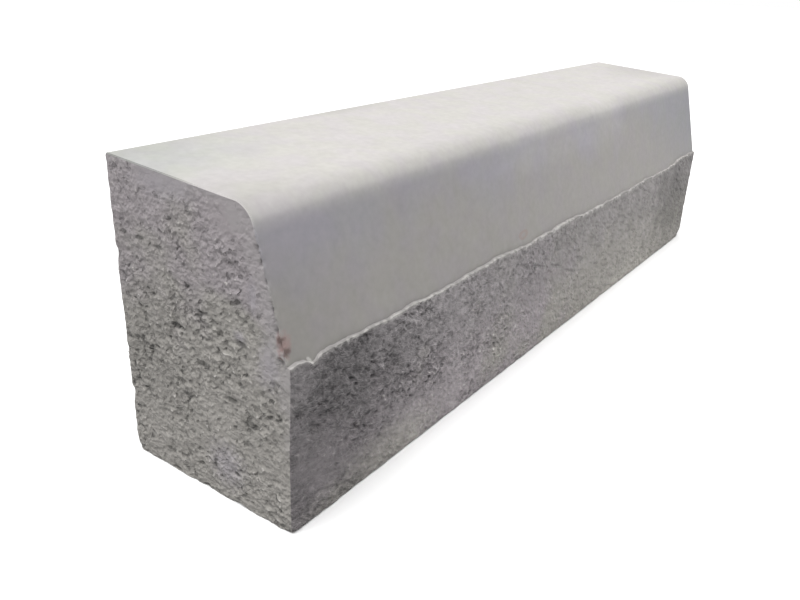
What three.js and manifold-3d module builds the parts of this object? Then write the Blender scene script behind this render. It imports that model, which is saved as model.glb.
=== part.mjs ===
// Road kerb stone of semi-dry pressed concrete, one solid casting.
// X runs along the kerb, the road is on the -Y side and +Z is up. The origin is the middle of the base.
// The top, its rounded nose and the sloping batter are the smooth pressed faces. Under the batter the
// rough road face stands a little proud, and its upper edge is the ragged seam that the mould leaves.
import * as THREE from 'three';
import { mergeVertices } from 'three/addons/utils/BufferGeometryUtils.js';
import Module from 'manifold-3d';

// Driving dimensions, in millimetres.
const kerbLength = 1000;
const kerbWidth = 195;        // across the base
const kerbHeight = 280;       // at the back edge, the highest line of the kerb
const crossfall = 10.5;       // drop of the top from the back edge to the nose
const batterInset = 33.5;     // from the road face to where the batter and the top would meet
const noseRadius = 20;        // rounded nose between the top and the batter
const seamHeightLeft = 153;   // the seam above the base at the -X end
const seamHeightRight = 150;  // and at the +X end
const seamSag = 6;            // how far the seam dips between its ends
const seamLedge = 3;          // how far the road face stands proud of the batter's foot
const backArris = 3;          // radius of the top edge at the back
const baseArris = 6;          // radius of both long edges of the base
const endArris = 2;           // easing round the outline of both ends
const roadFaceDepth = 24;     // how deep the road face is carried into the body
const seamStep = 5;           // spacing of the points along the seam

// The ragged seam is a sum of waves: height and length in millimetres, shift in radians.
const seamWaves = [
  { height: 1.2, length: 681, shift: 2.4 },
  { height: 0.9, length: 223, shift: 1.5 },
  { height: 0.8, length: 155, shift: 2.7 },
  { height: 0.5, length: 85, shift: 1.7 },
  { height: 0.4, length: 51, shift: 5.8 },
  { height: 0.4, length: 30, shift: 3.2 },
];

// Finish of the concrete.
const concreteColour = 0xa5a29c;
const concreteRoughness = 0.92;

const arcSteps = 8;           // straight pieces in the nose
const edgeSteps = 3;          // straight pieces in the small arrises
const footSteps = 20;         // straight pieces along the foot of the batter
const cutClearance = 10;      // how far a cutting shape reaches past what it cuts

const roadFace = -kerbWidth / 2;
const back = kerbWidth / 2;
const noseHeight = kerbHeight - crossfall;

const wasm = await Module();
wasm.setup();

function seamLineAt(x) {
  const along = x / kerbLength + 0.5;
  const dip = 4 * seamSag * along * (1 - along);
  return THREE.MathUtils.lerp(seamHeightLeft, seamHeightRight, along) - dip;
}

function seamHeightAt(x) {
  const wave = ({ height, length, shift }) => height * Math.sin((2 * Math.PI * x) / length + shift);
  return seamLineAt(x) + seamWaves.reduce((sum, each) => sum + wave(each), 0);
}

// A closed outline through the corners, each { at, radius, steps }, rounded where it has a radius.
function roundedOutline(corners) {
  const points = [];
  corners.forEach(({ at, radius = 0, steps = edgeSteps }, i) => {
    if (radius === 0) {
      points.push(at.clone());
      return;
    }
    const before = corners.at(i - 1).at.clone().sub(at).normalize();
    const after = corners[(i + 1) % corners.length].at.clone().sub(at).normalize();
    const halfAngle = Math.acos(before.dot(after)) / 2;
    const middle = before.clone().add(after).normalize();
    const centre = at.clone().addScaledVector(middle, radius / Math.sin(halfAngle));
    const start = at.clone().addScaledVector(before, radius / Math.tan(halfAngle)).sub(centre);
    const turn = Math.sign(before.cross(after)) * (2 * halfAngle - Math.PI);
    for (let step = 0; step <= steps; step += 1) {
      points.push(start.clone().rotateAround(new THREE.Vector2(), (turn * step) / steps).add(centre));
    }
  });
  return new THREE.Shape(points);
}

// A section drawn in Y and Z, run along the kerb, with its outline eased at both ends.
function alongKerb(section, steps = 1) {
  const geometry = new THREE.ExtrudeGeometry(section, {
    depth: kerbLength - 2 * endArris,
    steps,
    bevelThickness: endArris,
    bevelSize: endArris,
    bevelOffset: -endArris,
    bevelSegments: edgeSteps,
  });
  const sectionToKerb = new THREE.Matrix4().makeBasis(
    new THREE.Vector3(0, 1, 0),
    new THREE.Vector3(0, 0, 1),
    new THREE.Vector3(1, 0, 0),
  );
  return geometry.translate(0, 0, endArris - kerbLength / 2).applyMatrix4(sectionToKerb);
}

// The whole kerb but for the proud part of its road face. It ends at the foot of the batter.
function bodyGeometry() {
  const foot = new THREE.Vector2(roadFace + seamLedge, seamLineAt(0));
  const geometry = alongKerb(roundedOutline([
    { at: new THREE.Vector2(roadFace + roadFaceDepth / 2, 0) },
    { at: new THREE.Vector2(back, 0), radius: baseArris },
    { at: new THREE.Vector2(back, kerbHeight), radius: backArris },
    { at: new THREE.Vector2(roadFace + batterInset, noseHeight), radius: noseRadius, steps: arcSteps },
    { at: foot },
  ]), footSteps);
  // The foot follows the dip of the seam, so the ledge keeps its width along the kerb.
  const place = geometry.attributes.position;
  for (let i = 0; i < place.count; i += 1) {
    const isFoot = Math.abs(place.getZ(i) - foot.y) < 2 * endArris;
    if (isFoot) place.setZ(i, place.getZ(i) + seamLineAt(place.getX(i)) - foot.y);
  }
  return geometry;
}

// The road face: a plain band from the base to well above the seam, before the seam is cut.
function roadFaceGeometry() {
  const bandTop = Math.max(seamHeightLeft, seamHeightRight) + cutClearance;
  return alongKerb(roundedOutline([
    { at: new THREE.Vector2(roadFace, 0), radius: baseArris },
    { at: new THREE.Vector2(roadFace + roadFaceDepth, 0) },
    { at: new THREE.Vector2(roadFace + roadFaceDepth, bandTop) },
    { at: new THREE.Vector2(roadFace, bandTop) },
  ]));
}

// Everything under the ragged seam, drawn in X and Z and run across the kerb.
function underSeamGeometry() {
  const end = kerbLength / 2 + cutClearance;
  const steps = Math.round((2 * end) / seamStep);
  const elevation = new THREE.Shape([new THREE.Vector2(-end, -cutClearance), new THREE.Vector2(end, -cutClearance)]);
  for (let step = 0; step <= steps; step += 1) {
    const x = end - (2 * end * step) / steps;
    elevation.lineTo(x, seamHeightAt(x));
  }
  const depth = kerbWidth + 2 * cutClearance;
  return new THREE.ExtrudeGeometry(elevation, { depth, bevelEnabled: false })
    .rotateX(Math.PI / 2)
    .translate(0, depth / 2, 0);
}

function solidOf(geometry) {
  geometry.deleteAttribute('normal');
  geometry.deleteAttribute('uv');
  const merged = mergeVertices(geometry);
  return new wasm.Manifold(new wasm.Mesh({
    numProp: 3,
    vertProperties: merged.attributes.position.array,
    triVerts: new Uint32Array(merged.index.array),
  }));
}

function geometryOf(solid) {
  const { vertProperties, triVerts } = solid.getMesh();
  const indexed = new THREE.BufferGeometry();
  indexed.setAttribute('position', new THREE.BufferAttribute(vertProperties, 3));
  indexed.setIndex(new THREE.BufferAttribute(triVerts, 1));
  const faceted = indexed.toNonIndexed();
  faceted.computeVertexNormals();
  return faceted;
}

const raggedRoadFace = solidOf(roadFaceGeometry()).intersect(solidOf(underSeamGeometry()));
const casting = solidOf(bodyGeometry()).add(raggedRoadFace);

const concrete = new THREE.MeshStandardMaterial({
  color: concreteColour,
  roughness: concreteRoughness,
  metalness: 0,
});
const kerbStone = new THREE.Mesh(geometryOf(casting), concrete);
kerbStone.name = 'kerb_stone';

const kerb = new THREE.Group();
kerb.add(kerbStone);

export default kerb;
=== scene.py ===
import math

import bmesh
import bpy
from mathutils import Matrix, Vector


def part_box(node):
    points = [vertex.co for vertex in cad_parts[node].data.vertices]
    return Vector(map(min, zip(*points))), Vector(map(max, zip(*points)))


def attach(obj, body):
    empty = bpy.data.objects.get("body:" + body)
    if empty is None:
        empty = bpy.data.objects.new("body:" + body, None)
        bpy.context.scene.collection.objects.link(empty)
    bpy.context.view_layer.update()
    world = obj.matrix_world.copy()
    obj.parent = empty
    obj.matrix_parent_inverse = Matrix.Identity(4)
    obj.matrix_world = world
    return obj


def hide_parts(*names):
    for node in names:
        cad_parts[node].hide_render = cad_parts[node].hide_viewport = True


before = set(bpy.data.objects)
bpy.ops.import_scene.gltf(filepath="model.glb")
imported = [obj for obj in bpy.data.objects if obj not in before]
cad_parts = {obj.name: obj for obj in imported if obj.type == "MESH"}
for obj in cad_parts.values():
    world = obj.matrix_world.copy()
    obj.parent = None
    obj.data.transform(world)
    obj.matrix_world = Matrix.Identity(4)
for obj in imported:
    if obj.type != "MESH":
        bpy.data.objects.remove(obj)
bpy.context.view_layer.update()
print("frame loaded")

perMetre = 1000        # millimetres
hair = 1e-5            # places that differ by less than this, in metres, are the same
evenly = (0.35, 0.65)  # noise is drawn out from between these to between 0 and 1


class Signal:  # a number on a node's socket, so that node maths reads as Python
    def __init__(self, socket):
        self.socket = socket

    def maths(self, operation, *values):
        node = self.socket.id_data.nodes.new("ShaderNodeMath")
        node.operation = operation
        for inlet, value in zip(node.inputs, values):
            if isinstance(value, Signal):
                self.socket.id_data.links.new(value.socket, inlet)
            else:
                inlet.default_value = value
        return Signal(node.outputs[0])

    def __add__(self, other):
        return self.maths("ADD", self, other)

    def __sub__(self, other):
        return self.maths("SUBTRACT", self, other)

    def __rsub__(self, other):
        return self.maths("SUBTRACT", other, self)

    def __mul__(self, other):
        return self.maths("MULTIPLY", self, other)

    def __truediv__(self, other):
        return self.maths("DIVIDE", self, other)

    def __abs__(self):
        return self.maths("ABSOLUTE", self)

    __radd__ = __add__
    __rmul__ = __mul__

    def wave(self):
        return self.maths("SINE", self)

    def lowest(self, other):
        return self.maths("MINIMUM", self, other)

    def highest(self, other):
        return self.maths("MAXIMUM", self, other)


class Board:  # a node tree that patterns are built on, in the material and in geometry nodes alike
    def __init__(self, tree):
        self.tree = tree

    def add(self, kind, settings=None, inputs=None, output=0):
        node = self.tree.nodes.new(kind)
        for name, value in (settings or {}).items():
            setattr(node, name, value)
        for name, value in (inputs or {}).items():
            if isinstance(value, Signal):
                self.tree.links.new(value.socket, node.inputs[name])
            else:
                node.inputs[name].default_value = value
        return Signal(node.outputs[output]) if len(node.outputs) else node

    def vector(self, operation, *values, output=0):
        inputs = dict(enumerate(values))
        return self.add("ShaderNodeVectorMath", {"operation": operation}, inputs, output)

    def scaled(self, place, factor):
        return self.add("ShaderNodeVectorMath", {"operation": "SCALE"}, {0: place, "Scale": factor})

    def millimetres(self, place):
        return self.scaled(place, perMetre)

    def split(self, place):
        return [self.add("ShaderNodeSeparateXYZ", {}, {0: place}, output=axis) for axis in range(3)]

    def join(self, x, y, z):
        return self.add("ShaderNodeCombineXYZ", {}, {0: x, 1: y, 2: z})

    # size is that of one lump, in the units of place
    def noise(self, place, size, detail=2.0, roughness=0.5):
        return self.add("ShaderNodeTexNoise", {}, {
            "Vector": place, "Scale": 1 / size, "Detail": detail, "Roughness": roughness})

    # place moved about by noise, so that a pattern drawn there runs unevenly
    def shaken(self, place, size, reach):
        inputs = {"Vector": place, "Scale": 1 / size, "Detail": 1.0}
        shake = self.add("ShaderNodeTexNoise", {}, inputs, output=1)
        away = self.vector("SUBTRACT", shake, (0.5, 0.5, 0.5))
        return self.vector("ADD", place, self.scaled(away, 2 * reach))

    def step(self, value, start, end):  # a smooth step from 0 at start to 1 at end
        return self.add("ShaderNodeMapRange", {"interpolation_type": "SMOOTHSTEP"}, {
            "Value": value, "From Min": start, "From Max": end})

    def fade(self, value, start, end):  # a smooth step from 1 at start to 0 at end
        return 1 - self.step(value, start, end)

    def blend(self, factor, first, second):  # of two colours, on the node's sockets for colours
        colours = {0: factor, 6: first, 7: second}
        return self.add("ShaderNodeMix", {"data_type": "RGBA"}, colours, output=2)

    # 1 in the middle of an ellipsoid, 0 outside it
    def spot(self, place, centre, reach, soft=0.6, ragged=None):
        away = self.vector("DIVIDE", self.vector("SUBTRACT", place, centre), reach)
        distance = self.vector("LENGTH", away, output=1)
        if ragged is not None:
            distance = distance + ragged
        return self.fade(distance, 1 - soft, 1)


# the kerb's form, in metres; the seam's sag and waves are in millimetres and radians
kerbForm = {
    "crossfall": 0.0105,       # drop of the top from the back to the nose
    "batterInset": 0.0335,     # from the road face to where the batter and the top would meet
    "noseRadius": 0.020,
    "noseSteps": 14,
    "noseFoot": 0.2553,        # where the batter ends and the nose begins
    "seamLeft": 0.153,         # the seam above the base at both ends
    "seamRight": 0.150,
    "seamSag": 6.0,
    "seamWaves": (             # height, length and shift of each
        (1.2, 681, 2.4), (0.9, 223, 1.5), (0.8, 155, 2.7),
        (0.5, 85, 1.7), (0.4, 51, 5.8), (0.4, 30, 3.2)),
    "seamLedge": 0.003,        # how far the road face stands proud of the batter
    "ledgeRise": 0.0008,
    "backArris": 0.003,
    "baseArris": 0.006,
    "roadArris": 0.003,        # the same edge at the foot of the road face, which is crisper
    "endArris": 0.0010,
    "arrisSteps": 3,
    "formedSlope": 0.08,       # a face that looks up by more than this is a formed one
    "facetAcross": 0.0026,     # the open faces are cut into facets of this size, to carry their texture
    "cutsAlong": (62, 3),      # and along the kerb by these cuts, one after the other
}


def selectNothing():
    bpy.ops.object.select_all(action="DESELECT")


def pick(piece, kind, test):  # selects in edit mode the vertices, edges or faces that pass the test
    bpy.ops.mesh.select_mode(type=kind)
    bpy.ops.mesh.select_all(action="DESELECT")
    sheet = bmesh.from_edit_mesh(piece.data)
    for part in {"VERT": sheet.verts, "EDGE": sheet.edges, "FACE": sheet.faces}[kind]:
        if test(part):
            part.select_set(True)
    sheet.select_flush_mode()
    bmesh.update_edit_mesh(piece.data)


def near(value, target, room=hair):
    return abs(value - target) < room


def runsAlong(edge):
    first, second = (vert.co for vert in edge.verts)
    return near(first.y, second.y) and not near(first.x, second.x, 10 * hair)


def edgeAt(y, z):  # a test for the edges that run along the kerb at this place
    def isThere(edge):
        return runsAlong(edge) and all(near(v.co.y, y) and near(v.co.z, z) for v in edge.verts)
    return isThere


def buildKerbForm(form, low, high):
    selectNothing()
    bpy.ops.mesh.primitive_cube_add(size=1, location=(low + high) / 2, scale=high - low)
    kerb = bpy.context.object
    kerb.name = "kerb_casting"
    bpy.ops.object.transform_apply(location=True, rotation=True, scale=True)
    bpy.ops.object.mode_set(mode="EDIT")

    # the seam and the foot of the batter, level at first, then the batter and the crossfall
    seam = low.z + (form["seamLeft"] + form["seamRight"]) / 2
    foot = seam + form["ledgeRise"]
    for level in (seam, foot):
        pick(kerb, "FACE", lambda f: f.normal.y < -0.9)  # the road side
        bpy.ops.mesh.bisect(plane_co=(0, 0, level), plane_no=(0, 0, 1))
    pick(kerb, "VERT", lambda v: near(v.co.y, low.y) and near(v.co.z, foot))
    bpy.ops.transform.translate(value=(0, form["seamLedge"], 0))
    pick(kerb, "EDGE", lambda e: runsAlong(e) and all(near(v.co.z, foot) for v in e.verts))
    bpy.ops.mesh.mark_sharp()
    pick(kerb, "VERT", lambda v: near(v.co.y, low.y) and near(v.co.z, high.z))
    bpy.ops.transform.translate(value=(0, form["batterInset"], -form["crossfall"]))

    # the nose and the small arrises
    noseAt = Vector((0, low.y + form["batterInset"], high.z - form["crossfall"]))
    alongBatter = Vector((0, form["batterInset"] - form["seamLedge"], noseAt.z - foot))
    overTop = Vector((0, high.y - noseAt.y, form["crossfall"]))
    noseReach = form["noseRadius"] * math.tan(alongBatter.angle(overTop) / 2)
    bevels = (
        (noseAt.y, noseAt.z, noseReach, form["noseSteps"]),
        (high.y, high.z, form["backArris"], form["arrisSteps"]),
        (high.y, low.z, form["baseArris"], form["arrisSteps"]),
        (low.y, low.z, form["roadArris"], form["arrisSteps"]),
    )
    for y, z, offset, steps in bevels:
        pick(kerb, "EDGE", edgeAt(y, z))
        bpy.ops.mesh.bevel(offset=offset, offset_type="OFFSET", segments=steps, profile=0.5)
    for end in (low.x, high.x):
        pick(kerb, "EDGE", lambda e: all(near(v.co.x, end) for v in e.verts))
        bpy.ops.mesh.bevel(offset=form["endArris"], offset_type="OFFSET", segments=1)

    # facets: two narrow strips at each end first, so that the formed faces between stay whole
    outer = high.x - form["endArris"] - form["facetAcross"]
    inner = outer - 2 * form["facetAcross"]
    for x in (-outer, -inner, inner, outer):
        bpy.ops.mesh.select_all(action="SELECT")
        bpy.ops.mesh.bisect(plane_co=(x, 0, 0), plane_no=(1, 0, 0))
    slope = form["formedSlope"]
    pick(kerb, "FACE", lambda f: f.normal.z > slope and abs(f.calc_center_median().x) < outer)
    bpy.ops.mesh.hide()
    # rows up the kerb, of which one falls on the seam, and rows across it
    for axis, lowest, highest, mark in ((2, low.z, high.z, seam), (1, low.y, high.y, high.y)):
        count = round((mark - lowest) / form["facetAcross"])
        step = (mark - lowest) / count
        for row in range(1, round((highest - lowest) / step)):
            if row == count:  # the seam is there already
                continue
            bpy.ops.mesh.select_all(action="SELECT")
            bpy.ops.mesh.bisect(
                plane_co=[lowest + row * step if each == axis else 0 for each in range(3)],
                plane_no=[1 if each == axis else 0 for each in range(3)])
    bpy.ops.mesh.reveal()
    for cuts in form["cutsAlong"]:
        pick(kerb, "EDGE", lambda e: runsAlong(e) and all(abs(v.co.x) < inner + hair for v in e.verts))
        bpy.ops.mesh.subdivide(number_cuts=cuts)
    bpy.ops.object.mode_set(mode="OBJECT")
    return kerb


low, high = (Vector(corner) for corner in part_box("kerb_stone"))
kerb = buildKerbForm(kerbForm, low, high)
print("kerb form:", len(kerb.data.polygons), "faces")


# the surface of the concrete, in millimetres; places are counted from the middle of the base
relief = {
    "stretch": (0.79, 0.86, 1.12),  # the open texture is longer than it is high
    "slant": (0.32, 0.12),     # and its grain falls this much along the kerb and towards the back
    "lumpSize": 8.0,
    "lumpDepth": 2.0,
    "crumbSize": 4.2,
    "crumbDepth": 0.6,
    "pitSize": 6.0,
    "pitDepth": 1.4,
    "pitShare": 0.38,          # how much of the surface is pitted
    "pitCrowding": 0.09,       # and how much more of it where the pits crowd together
    "pitSoft": 0.12,
    "pitShake": (4.0, 1.2),    # the pits run unevenly, by this size and reach
    "patchSize": 60.0,         # size of the places where the pits crowd together
    "swellSize": 40.0,
    "swellDepth": 1.0,
    "strongSize": 38.0,        # size of the places where the texture is stronger
    "strongFrom": 0.7,
    "strongTo": 1.3,
    "calmBase": 0.4,           # how much weaker the texture is on the base
    "calmMix": 0.66,           # and in the finer layer
    "calmEdge": 0.6,           # and along the edges,
    "calmReach": 10.0,         # this far from them
    "mixAtTop": 8.0,           # thickness of the finer layer, seen at the ends under the formed faces
    "mixAtNose": 18.0,
    "mixAtBatter": 12.0,
    "mixRaggedSize": 18.0,
    "mixRagged": 34.0,
    "chipSize": 12.0,
    "chipDepth": 0.7,
    "chipReach": 6.0,
    "chipShare": (0.48, 0.70),
    "arrisPitDepth": 2.2,
    "deepPitDepth": 2.0,
    "bendDepth": (36.0, 90.0),  # towards the back, the rows follow the seam's course less and less
    "footAbove": (0.2, 0.6),   # the batter's foot begins this far above the seam
    "ledgeDepth": (4.0, 6.0),  # the ledge ends this far behind the road face
    "seamDepth": (4.5, 7.0),   # how deep behind the road face the seam's wear reaches
    "seamReach": (1.5, 10.0),  # and how far up and down
    "seamRagged": 2.3,
    "seamRaggedSize": 10.0,
    "seamLip": 0.9,
    "lipReach": (1.0, 3.5),
    "lipSize": 5.0,
    "lipCalm": 0.7,            # how much weaker the texture is on the lip
    "bulge": 2.4,              # the road face stands out a little where the seam meets the left end,
    "bulgeAt": (-500, 0, 145),  # from this place,
    "bulgeReach": (110, 1, 75),  # this far,
    "bulgeDepth": (-60, 0),    # and less towards the back
    "smoothAngle": 42.0,       # edges that turn by more than this, in degrees, stay sharp
}

# knocks out of the edges: place, reach and depth
knocks = (
    ((500, -97.5, 0), (16, 16, 16), 4.0),
    ((-500, 97.5, 0), (7, 7, 12), 1.2),
    ((500, 97.5, 0), (12, 12, 12), 3.0),
    ((-500, -97.5, 0), (9, 9, 9), 1.2),
    ((-500, 4, 0), (5, 6, 3), 0.8),
    ((-500, -38, 0), (5, 8, 3), 1.0),
    ((-500, 97.5, 196), (7, 7, 7), 1.2),
    ((-500, 97.5, 62), (8, 8, 8), 1.4),
    ((-500, -97.5, 88), (7, 7, 7), 1.2),
)

# pits along the worn arris between the batter and the left end: place and reach
arrisPits = (
    ((-500, -70, 240), (4, 4, 4)),
    ((-500, -74, 230), (4, 6, 4)),
    ((-500, -78, 216), (4, 4, 5)),
    ((-500, -83, 196), (4, 4, 4)),
    ((-500, -86, 181), (4, 6, 5)),
    ((-500, -89, 169), (4, 6, 9)),
    ((-500, -93, 163), (4, 5, 5)),
    ((-500, -88, 156), (4, 6, 3)),
)

# the deepest crevices of the left end: place and reach
deepPits = (
    ((-500, -55, 87), (8, 13, 4)),
    ((-500, -4, 124), (8, 12, 4)),
    ((-500, -4, 170), (8, 7, 3)),
    ((-500, 27, 149), (8, 7, 3)),
    ((-500, 70, 119), (8, 7, 3)),
    ((-500, 82, 122), (8, 5, 3)),
    ((-500, 84, 217), (8, 6, 3)),
    ((-500, 40, 213), (8, 9, 2.5)),
    ((-500, 64, 216), (8, 7, 2.5)),
    ((-500, -47, 157), (8, 7, 3)),
    ((-500, 17, 88), (8, 9, 3)),
    ((-500, -34, 102), (8, 9, 3)),
    ((-500, 42, 3), (5, 8, 2)),
    ((-500, 4, 2), (5, 6, 2)),
    ((-500, -37, 1), (5, 9, 2)),
    ((-500, -86, 4), (5, 4, 3)),
    ((-500, -35, 31), (8, 5, 2)),
    ((-500, 51, 20), (8, 6, 2)),
)

# places where the open texture is weaker, or stronger: place, reach and by how much
texturePlaces = (
    ((-500, 28, 268), (20, 60, 14), -0.6),
    ((-500, -40, 252), (20, 34, 26), -0.85),
    ((-500, 0, 12), (20, 130, 34), -0.12),
    ((-500, -59, 200), (20, 11, 26), -0.7),
    ((-500, -74, 152), (20, 14, 26), -0.7),
    ((-500, 20, 285), (20, 130, 80), -0.4),
    ((-500, 10, 130), (20, 110, 70), 0.3),
    ((-455, -97, 40), (38, 30, 40), -0.5),
    ((-484, -97, 66), (44, 30, 66), -0.5),
    ((-310, -97, 22), (190, 30, 52), -0.45),
    ((200, -97, 70), (460, 30, 170), -0.64),
    ((-390, -97, 100), (150, 30, 75), 0.25),
)

# the notch in the seam near the left end: along the kerb, half its width and its depth
seamNotch = (-475, 9, 3.6)

kerbLength, kerbWidth, kerbHeight = (high - low) * perMetre
seamLevel = perMetre * (kerbForm["seamLeft"] + kerbForm["seamRight"]) / 2  # before it takes its course


def seamWaves(x, form):  # how far the seam wanders from its line; x is a Signal
    waves = 0
    for height, length, shift in form["seamWaves"]:
        waves = (x * (2 * math.pi / length) + shift).wave() * height + waves
    return waves


def seamLine(x, form):  # the seam without its waves: a slope and a sag
    half = kerbLength / 2
    slope = perMetre * (form["seamRight"] - form["seamLeft"]) / kerbLength
    return x * slope + (x * x) * (form["seamSag"] / half ** 2) + (seamLevel - form["seamSag"])


def seamAt(x, form):
    return seamLine(x, form) + seamWaves(x, form)


def batterSlope(form):  # how far the batter leans back for each millimetre of height
    rise = high.z - form["crossfall"] - seamLevel / perMetre
    return (form["batterInset"] - form["seamLedge"]) / rise


def upBatter(z):  # 1 at the foot of the batter, 0 at the nose
    foot = seamLevel + perMetre * kerbForm["ledgeRise"]
    return (1 - (z - foot) / (perMetre * kerbForm["noseFoot"] - foot)).lowest(1.0).highest(0.0)


def texturePlace(board, place, values):
    x, y, z = board.split(place)
    alongKerb, acrossKerb = values["slant"]
    slanted = board.join(x, y, z + x * alongKerb + y * acrossKerb)
    return board.vector("MULTIPLY", slanted, values["stretch"])


def lumpPattern(board, place, values):
    return board.noise(place, values["lumpSize"], 1.0) - 0.5


def crumbPattern(board, place, values):
    return board.noise(place, values["crumbSize"], 1.2) - 0.5


def pitPattern(board, place, values):  # 0 on the surface, 1 at the bottom of a pit
    crowding = board.step(board.noise(place, values["patchSize"], 1.0), *evenly)
    lumps = board.noise(board.shaken(place, *values["pitShake"]), values["pitSize"], 1.5)
    share = crowding * values["pitCrowding"] + values["pitShare"]
    return board.step(share - lumps, 0.0, values["pitSoft"])


# painted light and shade: above 0 on the upper side of what stands out in a pattern, as if lit from
# above, and below 0 under it, as if in shade
def paintedLightFromAbove(board, pattern, place, reach):
    under = pattern(board, board.vector("ADD", place, (0, 0, reach)), relief)
    return pattern(board, board.vector("ADD", place, (0, 0, -reach)), relief) - under


def raggedEdge(board, place, size=6.0):
    return board.noise(place, size, 2.0, 0.6) - 0.5


def allSpots(board, place, spots, soft, ragged=None):  # the strongest of several spots
    strongest = board.spot(place, *spots[0], soft, ragged)
    for spot in spots[1:]:
        strongest = strongest.highest(board.spot(place, *spot, soft, ragged))
    return strongest


def nodesOn(kerb, name, make):  # a geometry nodes modifier, made and applied
    group = bpy.data.node_groups.new(name, "GeometryNodeTree")
    group.interface.new_socket("Geometry", in_out="INPUT", socket_type="NodeSocketGeometry")
    group.interface.new_socket("Geometry", in_out="OUTPUT", socket_type="NodeSocketGeometry")
    board = Board(group)
    made = make(board, board.add("NodeGroupInput"), board.add("GeometryNodeInputPosition"))
    board.add("NodeGroupOutput", {}, {0: made})
    modifier = kerb.modifiers.new(name, "NODES")
    modifier.node_group = group
    bpy.ops.object.modifier_apply(modifier=name)


# the level seam takes its course, and the rows of facets under it follow
def bendSeam(board, shape, rest):
    x, y, z = board.split(board.millimetres(rest))
    waves = seamWaves(x, kerbForm)
    seam = seamLine(x, kerbForm) + waves
    share = (z / seamLevel).lowest(upBatter(z)) * board.fade(y + kerbWidth / 2, *relief["bendDepth"])
    start, end = relief["footAbove"]
    isFoot = board.step(z, seamLevel + start, seamLevel + end)
    slide = waves * isFoot * share * batterSlope(kerbForm)
    offset = board.join(0.0, slide / perMetre, (seam - seamLevel) * share / perMetre)
    return board.add("GeometryNodeSetPosition", {}, {"Geometry": shape, "Offset": offset})


def underTop(y, z, form):  # how far below the top a place is
    topSlope = form["crossfall"] * perMetre / (kerbWidth - form["batterInset"] * perMetre)
    return kerbHeight - (kerbWidth / 2 - y) * topSlope - z


# 1 within the finer layer under the formed faces, seen at the ends
def fineLayerAt(board, place, values, form):
    y, z = board.split(place)[1:]
    noseY = form["batterInset"] * perMetre - kerbWidth / 2
    noseZ = kerbHeight - form["crossfall"] * perMetre
    lean = Vector((batterSlope(form), 1)).normalized()
    underBatter = (y - noseY) * lean.y - (z - noseZ) * lean.x
    ragged = raggedEdge(board, place, values["mixRaggedSize"]) * values["mixRagged"]
    atTop = board.step(underTop(y, z, form) + ragged, 0, values["mixAtTop"] * 2)
    atBatter = board.step(underBatter + ragged, 0, values["mixAtBatter"] * 2)
    noseReach = values["mixAtNose"] * 2
    section = board.join(0.0, y, z)
    atNose = 1 - board.spot(section, (0, noseY, noseZ), (1, noseReach, noseReach), 0.5, ragged / 30)
    return 1 - atTop.lowest(atBatter).lowest(atNose)


# how strong the open texture is: less on the base and in the finer layer, and uneven everywhere
def textureStrength(board, place, isOpen, isEnd, isBase, values):
    fineLayer = fineLayerAt(board, place, values, kerbForm)
    rough = isOpen * (1 - fineLayer * isEnd * values["calmMix"]) * (1 - isBase * values["calmBase"])
    strong = board.step(board.noise(place, values["strongSize"], 1.0), *evenly)
    rough = rough * (strong * (values["strongTo"] - values["strongFrom"]) + values["strongFrom"])
    for centre, reach, change in texturePlaces:
        rough = rough * (1 + board.spot(place, centre, reach, 0.8) * change)
    return rough


def openTexture(board, place, values):  # how far the open faces stand out, at full strength
    drawn = texturePlace(board, place, values)
    lumps = lumpPattern(board, drawn, values) * (2 * values["lumpDepth"])
    crumbs = crumbPattern(board, drawn, values) * (2 * values["crumbDepth"])
    swell = (board.noise(place, values["swellSize"]) - 0.5) * (2 * values["swellDepth"])
    return lumps + crumbs + swell - pitPattern(board, drawn, values) * values["pitDepth"]


def edgeDistance(board, place):  # of the distances to an end, a side and the base, the middle one
    x, y, z = board.split(place)
    toEnd = kerbLength / 2 - abs(x)
    toSide = kerbWidth / 2 - abs(y)
    nearest = toEnd.lowest(toSide).lowest(z)
    farthest = toEnd.highest(toSide).highest(z)
    return toEnd + toSide + z - nearest - farthest


# how deep the chips along the open edges go, and the larger knocks and the pits
def edgeWear(board, place, toEdge, isOpen, values):
    chips = board.step(board.noise(place, values["chipSize"], 2.0, 0.6), *values["chipShare"])
    sink = chips * board.fade(toEdge, 0, values["chipReach"]) * values["chipDepth"] * isOpen
    ragged = raggedEdge(board, place)
    for centre, reach, depth in knocks:
        sink = sink + board.spot(place, centre, reach, 0.9, ragged) * depth
    sink = sink + allSpots(board, place, arrisPits, 0.9) * values["arrisPitDepth"]
    return sink + allSpots(board, place, deepPits, 0.9, ragged) * values["deepPitDepth"]


# the seam is ragged up and down, and notched, with a lip that stands out along it
def seamWear(board, place, values, form):
    x, y, z = board.split(place)
    aboveSeam = z - seamAt(x, form)
    inFront = board.fade(y + kerbWidth / 2, *values["seamDepth"])
    alongOnly = board.join(x, 0.0, 0.0)
    ragged = board.noise(alongOnly, values["seamRaggedSize"], 3.0, 0.6) - 0.5
    lift = ragged * (2 * values["seamRagged"])
    centre, half, depth = seamNotch
    lift = lift - board.fade(abs(x - centre), 0, half) * depth
    lift = lift * board.fade(abs(aboveSeam), *values["seamReach"]) * inFront
    slide = lift * board.step(aboveSeam, *values["footAbove"]) * batterSlope(form)
    atLip = board.fade(abs(aboveSeam), *values["lipReach"]) * inFront
    lip = (board.noise(place, values["lipSize"], 2.0, 0.6) - 0.25) * atLip * values["seamLip"]
    return lift, slide, atLip, lip


def bulgeOut(board, place, values):  # how far the road face stands out at the left end of the seam
    x, y, z = board.split(place)
    level = values["bulgeAt"][2]
    spot = board.spot(board.join(x, 0.0, z.lowest(level)), values["bulgeAt"], values["bulgeReach"], 0.9)
    return spot * upBatter(z) * board.fade(y, *values["bulgeDepth"]) * values["bulge"]


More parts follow.
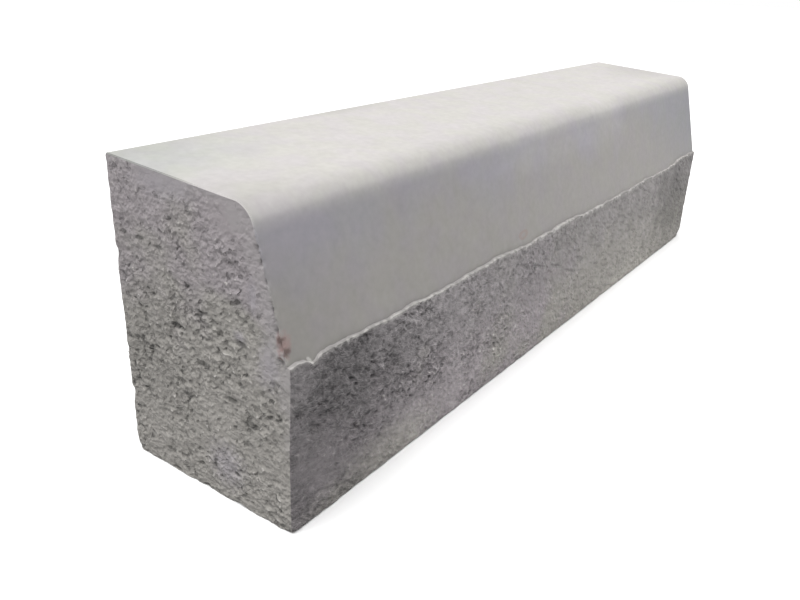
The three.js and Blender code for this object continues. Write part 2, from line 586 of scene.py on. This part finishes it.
def wearSurface(board, shape, rest):  # all the wear, and what the material needs to know of it
    values = relief
    place = board.millimetres(rest)

    # the faces are told apart by where their normals point
    normal = board.add("GeometryNodeInputNormal")
    normalX, normalY, normalZ = board.split(normal)
    isOpen = board.fade(normalZ, kerbForm["formedSlope"], 0.20)
    isEnd = board.step(abs(normalX), 0.55, 0.85)
    isBase = board.step(0 - normalZ, 0.55, 0.85)
    fromFront = board.split(place)[1] + kerbWidth / 2
    isLedge = board.step(normalZ, 0.5, 0.6) * board.fade(fromFront, *values["ledgeDepth"])
    isEndFace = board.step(abs(normalX), 0.75, 0.85)

    rough = textureStrength(board, place, isOpen, isEnd, isBase, values)
    toEdge = edgeDistance(board, place)
    lift, slide, atLip, lip = seamWear(board, place, values, kerbForm)
    rise = openTexture(board, place, values) * rough
    rise = rise * (1 - board.fade(toEdge, 0, values["calmReach"]) * values["calmEdge"])
    rise = rise - edgeWear(board, place, toEdge, isOpen, values)
    rise = rise * (1 - atLip * values["lipCalm"]) + lip * isOpen

    outward = board.scaled(normal, rise / perMetre)
    shift = board.join(0.0, (slide - bulgeOut(board, place, values)) / perMetre, lift / perMetre)
    worn = board.vector("ADD", board.vector("ADD", rest, outward), shift)
    wornX, wornY, wornZ = board.split(worn)
    worn = board.join(wornX, wornY, wornZ.highest(low.z))  # nothing reaches below the ground

    toKeep = (  # what the material reads
        ("rest", "FLOAT_VECTOR", "POINT", rest),
        ("open", "FLOAT", "FACE", isOpen.highest(isEndFace).highest(isLedge)),
        ("front", "FLOAT", "FACE", board.step(0 - normalY, 0.5, 0.7)),
        ("rough", "FLOAT", "POINT", rough),
    )
    for name, kind, domain, value in toKeep:
        shape = board.add(
            "GeometryNodeStoreNamedAttribute", {"data_type": kind, "domain": domain},
            {"Geometry": shape, "Name": name, "Value": value})
    return board.add("GeometryNodeSetPosition", {}, {"Geometry": shape, "Position": worn})


def addRelief(kerb):
    selectNothing()
    kerb.select_set(True)
    bpy.context.view_layer.objects.active = kerb
    nodesOn(kerb, "seam_course", bendSeam)
    nodesOn(kerb, "wear", wearSurface)
    bpy.ops.object.shade_smooth_by_angle(angle=math.radians(relief["smoothAngle"]))
    kerb.data.calc_loop_triangles()
    print("relief made:", len(kerb.data.loop_triangles), "triangles")


addRelief(kerb)


# colours of the concrete, as linear red, green and blue
finish = {
    # the top is paler than the batter, though both are the same formed concrete: painted light on the
    # top and painted shade on the batter
    "top": (0.400, 0.385, 0.372),
    "topDull": (0.338, 0.342, 0.325),
    "batter": (0.262, 0.250, 0.241),
    "batterCool": (0.256, 0.248, 0.266),
    "batterFar": (0.245, 0.244, 0.256),
    "open": (0.220, 0.210, 0.195),
    "openCool": (0.222, 0.203, 0.210),
    "fineLayer": (0.235, 0.222, 0.225),
    "paleFoot": (0.300, 0.287, 0.264),
    "paleGrain": (0.44, 0.42, 0.40),
    "burr": (0.38, 0.37, 0.35),
    "flake": (0.46, 0.45, 0.43),
    "cool": (0.232, 0.217, 0.233),
    "rust": (0.250, 0.160, 0.150),
    "rustDot": (0.085, 0.058, 0.053),
}

# marks on the kerb: how much they tint or lighten it, or darken it where below 0, how soft
# their edges are, and where they lie, in millimetres, by place and reach
marks = {
    # darker patches at the left of the road face
    "darkerNearLeft": (-0.27, 0.9, (((-460, -97, 120), (132, 30, 100)), ((-500, -97, 60), (80, 30, 90)))),
    "dullFar": (-0.36, 0.9, (((445, -97, 90), (215, 30, 125)),)),
    "dullEnd": (-0.10, 0.9, (((-500, 85, 120), (20, 110, 150)),)),
    "dullTop": (1.0, 0.9, (((-520, 60, 278), (210, 90, 20)),)),
    "dullFormed": (-0.11, 0.9, (
        ((-540, -85, 180), (160, 60, 120)), ((-520, -40, 272), (150, 50, 14)),
        ((-520, 95, 278), (200, 40, 20)), ((-210, 97, 279), (110, 24, 20)))),
    "dullFarEnd": (-0.15, 0.9, (((560, -75, 200), (380, 60, 130)), ((560, 10, 275), (260, 100, 20)))),
    "paleFormed": (0.12, 0.9, (((135, -72, 245), (90, 40, 55)), ((-20, -74, 240), (240, 30, 36)))),
    # a paler band under the seam: painted light where the burr's lower flank catches it
    "paintedLightUnderSeam": (0.18, 0.9, (((-350, -97, 140), (125, 30, 25)),)),
    "paleFoot": (0.8, 0.9, (
        ((-370, -97, 10), (110, 30, 42)), ((-430, -97, 0), (90, 30, 34)),
        ((230, -97, 0), (220, 30, 26)))),
    "coolPatch": (0.7, 0.9, (
        ((-500, 28, 266), (20, 54, 19)), ((-500, -62, 200), (20, 8, 22)),
        ((-500, -75, 147), (20, 16, 31)), ((-500, -46, 162), (20, 9, 9)),
        ((-500, -24, 36), (20, 30, 32)))),
    # arrisPits and deepPits darken the pits they name: painted shade in those hollows
    "arrisPits": (-0.6, 0.9, arrisPits),
    "deepPits": (-0.55, 0.6, deepPits),
    "scratch": (-0.30, 0.8, (
        ((-80, -97, 85), (24, 30, 2.2)), ((-34, -97, 87), (26, 30, 1.8)),
        ((12, -97, 82), (28, 30, 2.8)))),
    "smudge": (0.8, 0.5, (((-122, -92, 158), (13, 9, 6)),)),
    "rust": (0.7, 0.8, (((-498, -90, 170), (9, 9, 14)), ((-494, -94, 176), (10, 6, 8)))),
    "rustDot": (0.85, 0.7, (
        ((-500, -88, 172), (6, 4, 6)), ((-498, -92, 164), (6, 4, 5)),
        ((-500, -88, 158), (4, 4, 2)))),
    "flake": (1.0, 0.5, (((-477, -95, 153), (3, 6, 4)),)),
}

# how the colours of the formed faces change, with places in millimetres
formedLook = {
    "cloudSize": 95.0,
    "cloudReach": 160.0,       # how far clouds move the edge of the batter's cool part
    "coolLevel": (190, 262),
    "nearRun": (-480, 100),
    "nearShade": 0.92,         # how much of its brightness the batter keeps at its left end
    "farRun": (200, 520),
    "farLean": (210, 2.0),     # the edge of the far part leans, by this much from this level
    "topLevel": (245, 268),
    "frontDepth": (-64, -32),
    "frontLevel": (258, 266),
    "frontDull": 0.10,         # how much darker the top is along the nose
    "tintSize": 28.0,
    "tints": (((1, 0.98, 1.04), 0.40, 0.70), ((1, 1.02, 0.97), 0.60, 0.30)),
    "tintShare": 0.5,
    "mottles": ((30.0, 3.0, 0.14), (7.0, 2.0, 0.20)),  # size, detail and strength
}

# how the colours of the open faces change; three values are for the ends, the back and the base,
# for the road face, and for its far part
openLook = {
    "farRun": (-250, 100),     # where the far part of the road face begins
    # lumps, crumbs and pits: painted light and shade of the relief, paler where it stands out and darker
    # in its hollows and pits
    "lumps": (0.36, 0.36, 0.30),
    "crumbs": (0.30, 1.30, 0.10),
    "pits": (0.40, 0.20, 0.20),
    # painted light on the upper sides of what stands out, and painted shade under it
    "crumbPaintedLight": (0.59, 0.52, 0.39),
    "crumbPaintedLightReach": 1.5,
    "lumpPaintedLight": (0.21, 0.62, 0.465),
    "lumpPaintedLightReach": 2.6,
    "unevenSize": 24.0,
    "uneven": (0.65, 1.35),
    "grainSize": 4.2,
    "grainShare": (0.72, 0.80),
    "paleGrains": 0.5,
    "fineLayer": 0.7,
    "raggedSize": 4.0,         # of the ragged edges of marks
    "cloudySize": 40.0,        # and of their cloudy ones
    "patchSize": 60.0,
    "endCool": (205, 300),     # an end grows cooler upwards: level of the middle, and how slowly
    "roadCool": (0.20, 0.45),  # the road face is cooler at its left, and this much less so beyond
    "roadCoolRun": (-250, 150),
}

# what is darker or paler on the road face alone
roadLook = {
    "blotSize": 16.0,
    "blots": 0.45,
    "dragSlant": 0.32,         # the far part is marked as if dragged, along this slant
    "dragStretch": (0.5, 1.0, 1.5),
    "dragSize": 9.0,
    "drag": 0.6,
    "speckSize": 8.0,
    "speckShare": (0.56, 0.66),
    "specks": 0.20,
    "nearRun": (-420, -240),   # darker to the left of here, and paler beyond
    "nearShade": (-0.20, 0.32),
    "clouds": 0.3,
    "lowLevel": (10, 120),
    "lowRun": (-480, -300),
    "lowPale": 0.30,
    "farDull": 0.11,
    # the foot of the road face is paler: painted light that lifts the shade under its arris
    "footLevel": (0, 4),
    "footPaintedLight": 0.40,
    "scratchRim": (0, 0, 4.5),  # the scratch has a paler rim beneath it
    "scratchRimShare": 0.533,
}

# a darker line along the rim of the top, and stains, laid over all the faces
rimAndStainLook = {
    "rimDarkening": 0.45,             # along the rim of the top at both ends
    "rimDarkeningDepth": (0.6, 1.8),
    "rimDarkeningRun": (498.6, 499.3),
    "rimDarkeningAcross": (-30, 40),
    "ringSoft": 0.9,           # the smudge is a ring; this empties its middle
}

# the pale burr of cement along the seam
burrLook = {
    "above": 0.2,              # how far its middle is above the seam
    "straySize": 4.5,
    "stray": 3.0,
    "knotSize": 11.0,          # knots along the line
    "knotShare": (0.40, 0.62),
    "knotRun": (-500, -470),   # there are none right at the left end
    "knotReach": 1.6,
    "knotShade": (0.45, 0.5),
    "edge": (0.2, 1.7),
    "wideRun": (-350, 150),    # over this run the line grows wider
    "wide": 0.8,
    "wideLine": 0.4,
    "fadeSize": 45.0,
    "fadeShare": (0.36, 0.56),
    "fade": 0.5,
    "thickAt": 310,            # it is strongest this far to the left of the middle
    "thickRun": (60, 160),
    "thick": 0.38,
    "strength": 0.26,
    "knobSize": 7.5,
    "knobShare": (0.44, 0.60),
    "knobRun": (0, 400),
    "knobs": (0.62, 0.22),
    "gapReach": (0.5, 3.0),
    "gaps": 0.34,
    # a soft halo of the burr's colour on both sides of the line: painted light that lifts the shade in
    # the crease by the lip
    "softReach": (5, 4),
    "soft": 0.24,
    "shadowAt": (0, -98, -4.5),
    "shadowReach": (1, 5, 4.5),
    "shadow": 0.12,
    "flakeRagged": 1.6,
    "flakes": 0.8,
}

# the texture that is too fine for the facets, as bump; the crumbs have three values as above
bumpLook = {
    "lumps": 2.4,
    "crumbs": (6.0, 10.0, 4.0),
    "grains": 0.3,
    "pits": 2.2,
    "formedCrumbs": 0.04,
    "distance": 0.001,
    "roughness": (0.78, 0.92),  # of the formed faces and of the open ones
}


class Surface:  # what the patterns of the material share; places are in millimetres
    def __init__(self, board, look):
        self.isOpen, self.rough, self.onRoadFace = (
            board.add("ShaderNodeAttribute", {"attribute_name": name}, {}, output="Fac")
            for name in ("open", "rough", "front"))
        rest = board.add("ShaderNodeAttribute", {"attribute_name": "rest"}, {}, output="Vector")
        self.place = board.millimetres(rest)
        self.x, self.y, self.z = board.split(self.place)
        self.farOff = board.step(self.x, *look["farRun"]) * self.onRoadFace
        self.drawn = texturePlace(board, self.place, relief)
        self.lumps = lumpPattern(board, self.drawn, relief)
        self.crumbs = crumbPattern(board, self.drawn, relief)
        self.pits = pitPattern(board, self.drawn, relief)
        self.grains = board.step(board.noise(self.drawn, look["grainSize"], 0.0), *look["grainShare"])
        self.ragged = raggedEdge(board, self.place, look["raggedSize"])
        self.cloudy = raggedEdge(board, self.place, look["cloudySize"])

    def byFace(self, end, road, far):  # a strength for each of the three kinds of open face
        return self.onRoadFace * (road - end) + self.farOff * (far - road) + end


def markOn(board, place, name, ragged=None):  # how strong a mark is at a place
    strength, soft, spots = marks[name]
    return allSpots(board, place, spots, soft, ragged) * strength


def formedColour(board, at, colours, look):  # of the top, the nose and the batter
    top = board.blend(markOn(board, at.place, "dullTop"), colours["top"], colours["topDull"])
    cloud = board.noise(at.place, look["cloudSize"]) - 0.5
    coolness = board.step(at.z + cloud * look["cloudReach"], *look["coolLevel"])
    batter = board.blend(coolness, colours["batter"], colours["batterCool"])
    alongBatter = board.step(at.x, *look["nearRun"])
    batter = board.blend(alongBatter, board.scaled(batter, look["nearShade"]), batter)
    level, lean = look["farLean"]
    farness = board.step(at.x + (at.z - level) * lean, *look["farRun"])
    batter = board.blend(farness, batter, colours["batterFar"])
    # the batter's darker colour gives way to the top's paler one over the nose: painted shade giving way
    # to painted light
    formed = board.blend(board.step(at.z, *look["topLevel"]), batter, top)

    alongNose = board.fade(at.y, *look["frontDepth"]) * board.step(at.z, *look["frontLevel"])
    shade = 1 - alongNose * look["frontDull"] + markOn(board, at.place, "paleFormed", at.cloudy)
    shade = shade + markOn(board, at.place, "dullFormed") + markOn(board, at.place, "dullFarEnd")
    formed = board.scaled(formed, shade)
    tinting = board.noise(at.place, look["tintSize"], 1.0)
    for tint, start, end in look["tints"]:
        tinted = board.vector("MULTIPLY", formed, tint)
        formed = board.blend(board.step(tinting, start, end) * look["tintShare"], formed, tinted)
    mottle = 1
    for size, detail, strength in look["mottles"]:
        mottle = (board.noise(at.place, size, detail, 0.6) - 0.5) * strength + mottle
    return board.scaled(formed, mottle)


def openTone(board, at, colours, look, form):  # the colour of the open faces before its shade
    level, height = look["endCool"]
    atLeft, lessBeyond = look["roadCool"]
    endCool = (at.z - level) / height * (1 - at.onRoadFace)
    roadCool = (atLeft - board.step(at.x, *look["roadCoolRun"]) * lessBeyond) * at.onRoadFace
    patch = board.noise(at.place, look["patchSize"])
    coolness = board.step(patch + endCool + roadCool, *evenly)
    tone = board.blend(coolness, colours["open"], colours["openCool"])
    layers = (
        ("paleFoot", markOn(board, at.place, "paleFoot", at.ragged)),
        ("paleGrain", at.grains * at.rough * look["paleGrains"]),
        ("fineLayer", fineLayerAt(board, at.place, relief, form) * look["fineLayer"]),
        ("cool", markOn(board, at.place, "coolPatch", at.ragged)),
    )
    for name, share in layers:
        tone = board.blend(share, tone, colours[name])
    return tone


# painted light and shade of the relief on the open faces: paler where it stands out and on its upper
# sides, darker in its hollows and pits
def paintedReliefShade(board, at, look):  # pale upper sides of what stands out, and dark pits
    # painted light on the upper sides of the crumbs and lumps, and painted shade under them
    crumbPaintedLight = paintedLightFromAbove(board, crumbPattern, at.drawn, look["crumbPaintedLightReach"])
    lumpPaintedLight = paintedLightFromAbove(board, lumpPattern, at.drawn, look["lumpPaintedLightReach"])
    least, most = look["uneven"]
    uneven = board.step(board.noise(at.place, look["unevenSize"], 1.0), *evenly)
    edges = crumbPaintedLight * at.byFace(*look["crumbPaintedLight"]) + lumpPaintedLight * at.byFace(*look["lumpPaintedLight"])
    grain = at.lumps * at.byFace(*look["lumps"]) + at.crumbs * at.byFace(*look["crumbs"])
    grain = grain + edges * (uneven * (most - least) + least) - at.pits * at.byFace(*look["pits"])
    return 1 + grain * at.rough


def roadShade(board, at, look):  # what is darker or paler on the road face alone
    slanted = board.join(at.x, at.y, at.z + at.x * look["dragSlant"])
    dragged = board.vector("MULTIPLY", slanted, look["dragStretch"])
    blots = raggedEdge(board, at.place, look["blotSize"]) * at.onRoadFace * look["blots"]
    drag = (board.noise(dragged, look["dragSize"], 1.5, 0.6) - 0.5) * at.farOff * look["drag"]
    specks = board.step(board.noise(dragged, look["speckSize"], 0.5), *look["speckShare"])
    shade = 1 + blots + drag - specks * at.farOff * look["specks"]

    left, beyond = look["nearShade"]
    nearShade = board.step(at.x, *look["nearRun"]) * beyond + left + at.cloudy * look["clouds"]
    shade = shade * (1 + at.onRoadFace * nearShade)
    paleLow = board.fade(at.z, *look["lowLevel"]) * board.step(at.x, *look["lowRun"])
    shade = shade * (1 + at.onRoadFace * paleLow * look["lowPale"] - at.farOff * look["farDull"])
    # painted light along the foot of the road face, lifting the shade under its arris
    shade = shade * (1 + board.fade(at.z, *look["footLevel"]) * at.onRoadFace * look["footPaintedLight"])
    # the band under the seam is painted light; the other two are darker patches
    for name in ("darkerNearLeft", "dullFar", "paintedLightUnderSeam"):
        shade = shade * (1 + markOn(board, at.place, name, at.cloudy) * at.onRoadFace)
    rim = board.vector("ADD", slanted, look["scratchRim"])
    scratch = markOn(board, slanted, "scratch") - markOn(board, rim, "scratch") * look["scratchRimShare"]
    return shade * (1 + scratch * at.onRoadFace)


# the pits along the arris and the deepest crevices of the left end are darkened as painted shade
def endShade(board, at):  # what is darker at the left end alone
    shade = 1 + markOn(board, at.place, "dullEnd", at.cloudy)
    shade = shade * (1 + markOn(board, at.place, "arrisPits", at.ragged))
    return shade * (1 + markOn(board, at.place, "deepPits", raggedEdge(board, at.place)))


def addDarkRimAndStains(board, at, colour, colours, look, form):
    rimDarkening = board.fade(underTop(at.y, at.z, form), *look["rimDarkeningDepth"])
    rimDarkening = rimDarkening * board.step(abs(at.x), *look["rimDarkeningRun"]) * board.step(at.y, *look["rimDarkeningAcross"])
    colour = board.scaled(colour, 1 - rimDarkening * look["rimDarkening"])
    for name in ("rust", "rustDot"):
        colour = board.blend(markOn(board, at.place, name, at.ragged), colour, colours[name])
    strength, soft, spots = marks["smudge"]
    middle = allSpots(board, at.place, spots, look["ringSoft"])
    ring = allSpots(board, at.place, spots, soft) * (1 - middle)
    return board.blend(ring * strength, colour, colours["rust"])


def addBurr(board, at, colour, colours, look, form):
    aboveSeam = at.z - seamAt(at.x, form)
    alongOnly = board.join(at.x, 0.0, 0.0)
    stray = (board.noise(at.place, look["straySize"], 2.0, 0.6) - 0.5) * look["stray"]
    toRim = abs(aboveSeam - look["above"]) + abs(at.y + kerbWidth / 2) + stray
    knots = board.step(board.noise(alongOnly, look["knotSize"], 3.0, 0.7), *look["knotShare"])
    knots = knots * board.step(at.x, *look["knotRun"])
    wide = board.step(at.x, *look["wideRun"]) * look["wide"]
    thick = board.fade(abs(at.x + look["thickAt"]), *look["thickRun"])
    line = toRim - knots * (look["knotReach"] + wide) - wide * look["wideLine"]
    base, more = look["knotShade"]
    burr = board.fade(line, *look["edge"]) * (knots * more + base)
    fading = board.fade(board.noise(alongOnly, look["fadeSize"], 2.0, 0.6), *look["fadeShare"])
    burr = burr * (1 - fading * look["fade"])
    knobs = board.step(board.noise(at.place, look["knobSize"], 0.0), *look["knobShare"])
    gaps = board.fade(toRim, *look["gapReach"]) * (1 - knobs)
    reach, wider = look["softReach"]
    soft = board.fade(toRim, 0, wide * wider + reach)

    section = board.join(0.0, at.y, aboveSeam)
    shadow = board.spot(section, look["shadowAt"], look["shadowReach"], 0.8, at.ragged)
    colour = board.scaled(colour, 1 - shadow * wide * look["shadow"])
    # painted light: the soft halo lifts the shade in the crease by the lip
    colour = board.blend(soft * look["soft"], colour, colours["burr"])
    colour = board.scaled(colour, 1 - gaps * look["gaps"])
    colour = board.blend(burr * (thick * look["thick"] + look["strength"]), colour, colours["burr"])
    strong, less = look["knobs"]
    knobs = knobs * burr * (strong - board.step(at.x, *look["knobRun"]) * less)
    knobs = knobs.highest(markOn(board, at.place, "flake", at.ragged * look["flakeRagged"]))
    return board.blend(knobs * look["flakes"], colour, colours["flake"])


def makeConcrete(values, look, form):
    material = bpy.data.materials.new("concrete")
    material.use_nodes = True
    board = Board(material.node_tree)
    board.tree.nodes.clear()
    colours = {name: (*colour, 1) for name, colour in values.items()}
    at = Surface(board, openLook)
    formed = formedColour(board, at, colours, formedLook)
    shade = paintedReliefShade(board, at, openLook) * roadShade(board, at, roadLook) * endShade(board, at)
    opened = board.scaled(openTone(board, at, colours, openLook, form), shade)
    colour = board.blend(at.isOpen, formed, opened)
    colour = addDarkRimAndStains(board, at, colour, colours, rimAndStainLook, form)
    colour = addBurr(board, at, colour, colours, burrLook, form)

    height = at.lumps * look["lumps"] + at.crumbs * at.byFace(*look["crumbs"])
    height = height + at.grains * look["grains"] - at.pits * look["pits"]
    height = height * at.rough + at.crumbs * look["formedCrumbs"]
    bump = board.add("ShaderNodeBump", {}, {
        "Height": height, "Distance": look["distance"], "Strength": 1.0})
    smooth, coarse = look["roughness"]
    shader = board.add("ShaderNodeBsdfPrincipled", {}, {
        "Base Color": colour, "Roughness": at.isOpen * (coarse - smooth) + smooth, "Normal": bump})
    board.add("ShaderNodeOutputMaterial", {}, {"Surface": shader})
    return material


kerb.data.materials.clear()
kerb.data.materials.append(makeConcrete(finish, bumpLook, kerbForm))
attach(kerb, "root")
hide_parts("kerb_stone")
print("concrete finished")


# the stage
stage = {
    "floorRadius": 14.0,
    "floorColour": (0.80, 0.80, 0.80),
    "backdrop": 1.0,           # what the camera sees beyond the floor
    "skylight": 0.10,          # what lights the kerb from there
}

suns = {
    "overhead": {"towards": (-0.24, 0.03, 0.97), "spread": 60.0, "power": 5.8},
}

softboxes = {
    "front": {"place": (0.75, -0.80, 0.55), "aim": (0.42, -0.09, 0.15), "size": 0.5, "power": 2.0},
}

view = {
    "place": (-0.8533, -0.4399, 0.4235),
    "turn": (66.33, -2.12, -54.193),  # degrees about X, Y and Z
    "lens": 34.362,
    "sensor": 36.0,
}


def plainMaterial(name, colour, roughness):
    material = bpy.data.materials.new(name)
    material.use_nodes = True
    shader = material.node_tree.nodes["Principled BSDF"]
    shader.inputs["Base Color"].default_value = (*colour, 1)
    shader.inputs["Roughness"].default_value = roughness
    return material


def makeStage(values):
    selectNothing()
    bpy.ops.mesh.primitive_circle_add(vertices=96, radius=values["floorRadius"], fill_type="NGON")
    floor = bpy.context.object
    floor.name = "floor"
    floor.data.materials.append(plainMaterial("floor_white", values["floorColour"], 0.9))
    world = bpy.data.worlds.new("studio")
    world.use_nodes = True
    board = Board(world.node_tree)
    board.tree.nodes.clear()
    seen = board.add("ShaderNodeLightPath", output="Is Camera Ray")
    strength = seen * (values["backdrop"] - values["skylight"]) + values["skylight"]
    background = board.add("ShaderNodeBackground", {}, {"Color": (1, 1, 1, 1), "Strength": strength})
    board.add("ShaderNodeOutputWorld", {}, {"Surface": background})
    bpy.context.scene.world = world


def hang(name, data, place, towards):  # an object that points its -Z axis from its place
    holder = bpy.data.objects.new(name, data)
    bpy.context.collection.objects.link(holder)
    holder.location = place
    holder.rotation_euler = Vector(towards).to_track_quat("-Z", "Y").to_euler()
    return holder


def makeSun(name, towards, spread, power):
    lamp = bpy.data.lights.new(name, "SUN")
    lamp.angle = math.radians(spread)
    lamp.energy = power
    hang(name, lamp, (0, 0, 3), -Vector(towards))


def makeSoftbox(name, place, aim, size, power):
    lamp = bpy.data.lights.new(name, "AREA")
    lamp.shape = "DISK"
    lamp.size = size
    lamp.energy = power
    hang(name, lamp, place, Vector(aim) - Vector(place)).visible_camera = False


def makeCamera(values):
    camera = bpy.data.cameras.new("camera")
    camera.lens = values["lens"]
    camera.sensor_width = values["sensor"]
    camera.sensor_fit = "HORIZONTAL"
    holder = bpy.data.objects.new("camera", camera)
    bpy.context.collection.objects.link(holder)
    holder.location = values["place"]
    holder.rotation_euler = [math.radians(angle) for angle in values["turn"]]
    bpy.context.scene.camera = holder


makeStage(stage)
for name, lamp in suns.items():
    makeSun(name, **lamp)
for name, lamp in softboxes.items():
    makeSoftbox(name, **lamp)
makeCamera(view)
bpy.context.scene.view_settings.view_transform = "Standard"
print("stage, lights and camera ready")
